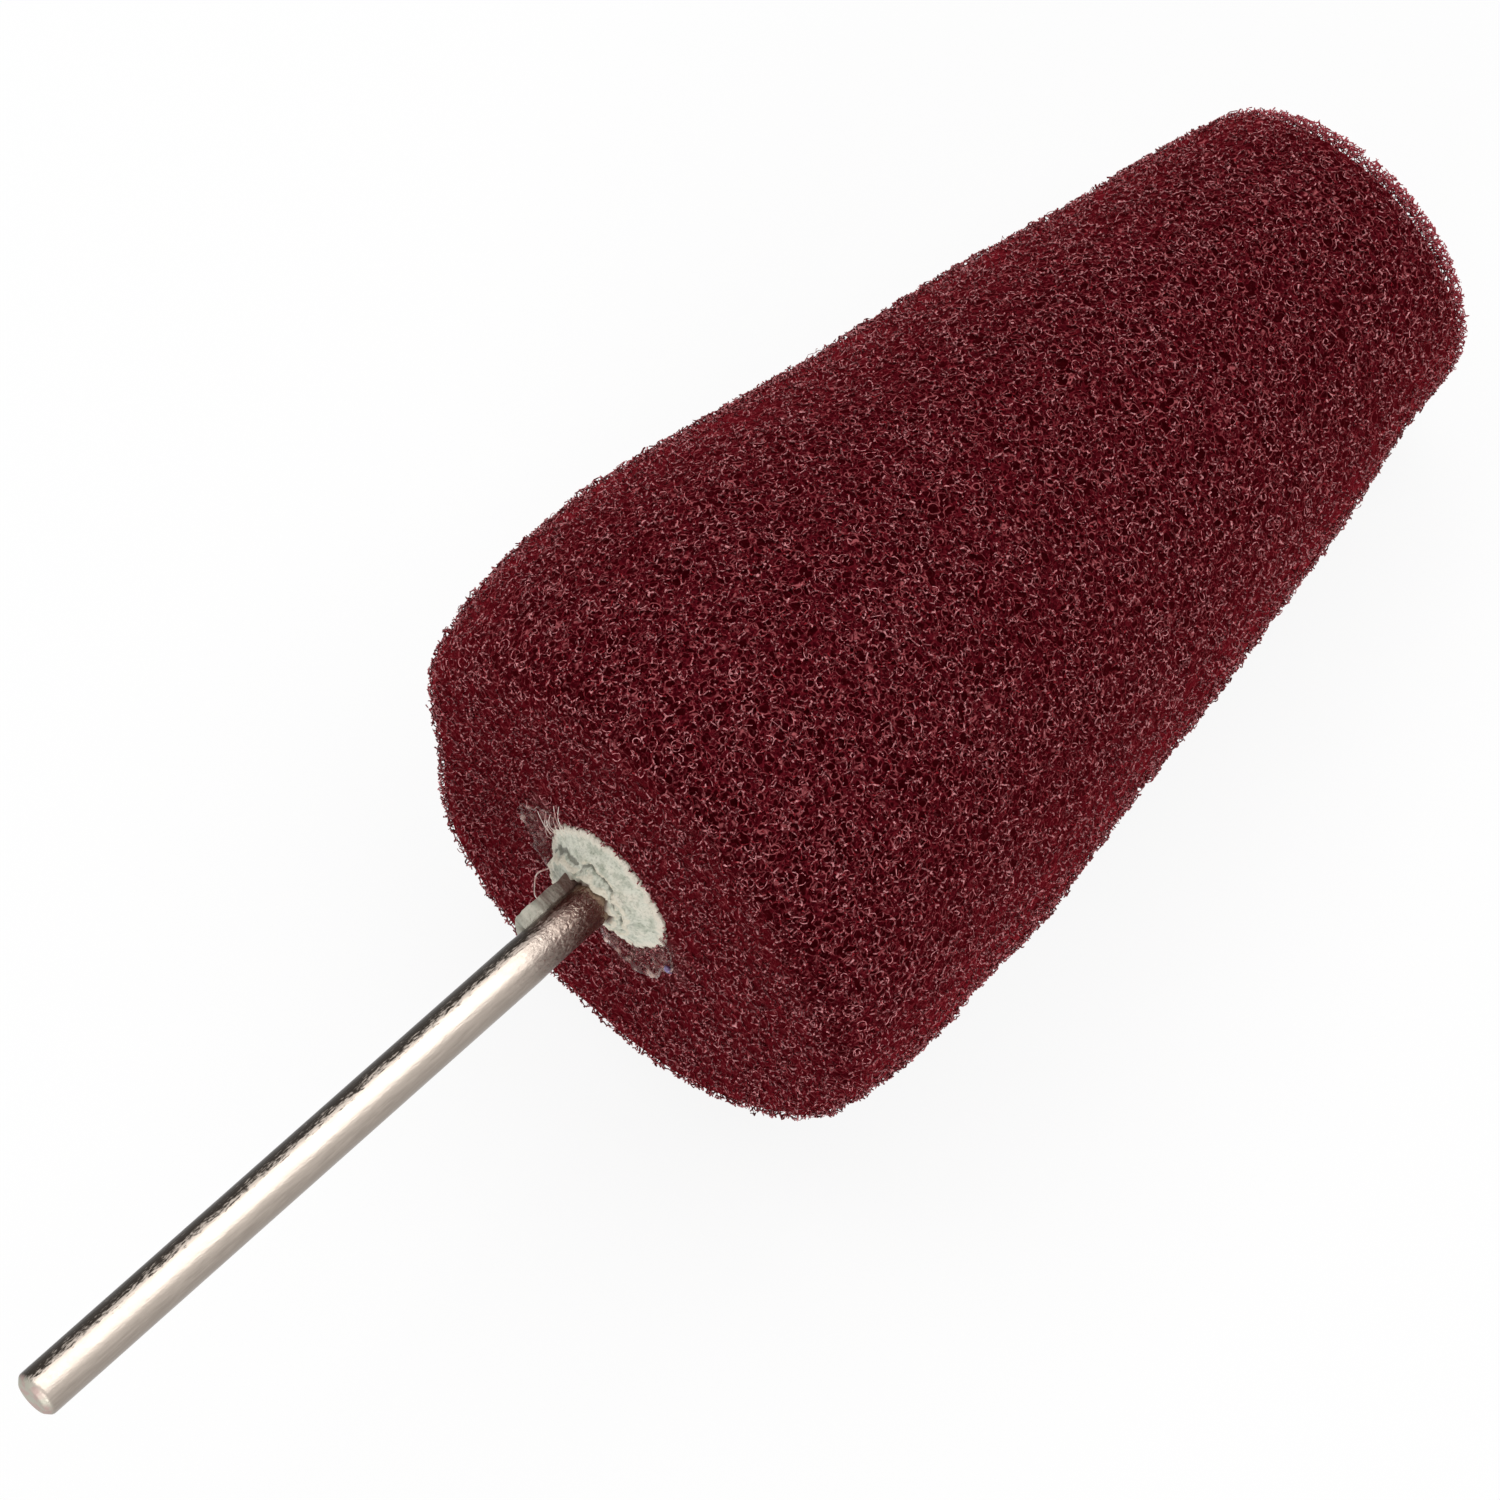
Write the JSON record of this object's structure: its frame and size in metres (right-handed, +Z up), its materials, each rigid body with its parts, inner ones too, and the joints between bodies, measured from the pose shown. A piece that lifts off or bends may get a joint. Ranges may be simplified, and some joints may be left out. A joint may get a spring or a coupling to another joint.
{
  "type": "foam polishing cone",
  "caption": "Blunt cone of red open-cell foam on a steel drill shank, held by a cast resin hub, for polishing inside curved and narrow places.",
  "frame": {"origin": "centre of the bounding box's bottom, on the surface that the cone lies on", "axes": "+X is horizontal and along the tool, from the shank's free end towards the cone's tip, and +Z is up. The cone lies on its flank, so its axis dips 9.7 degrees towards the tip."},
  "size_m": [0.2304, 0.0782, 0.0797],
  "materials": {
    "foam": "matte",
    "steel": "satin",
    "resin": "satin",
    "glue": "gloss"
  },
  "bodies": {
    "root": {"foam_cone": "foam", "shank": "steel", "hub": "resin", "glue_bead": "glue"}
  },
  "joints": []
}
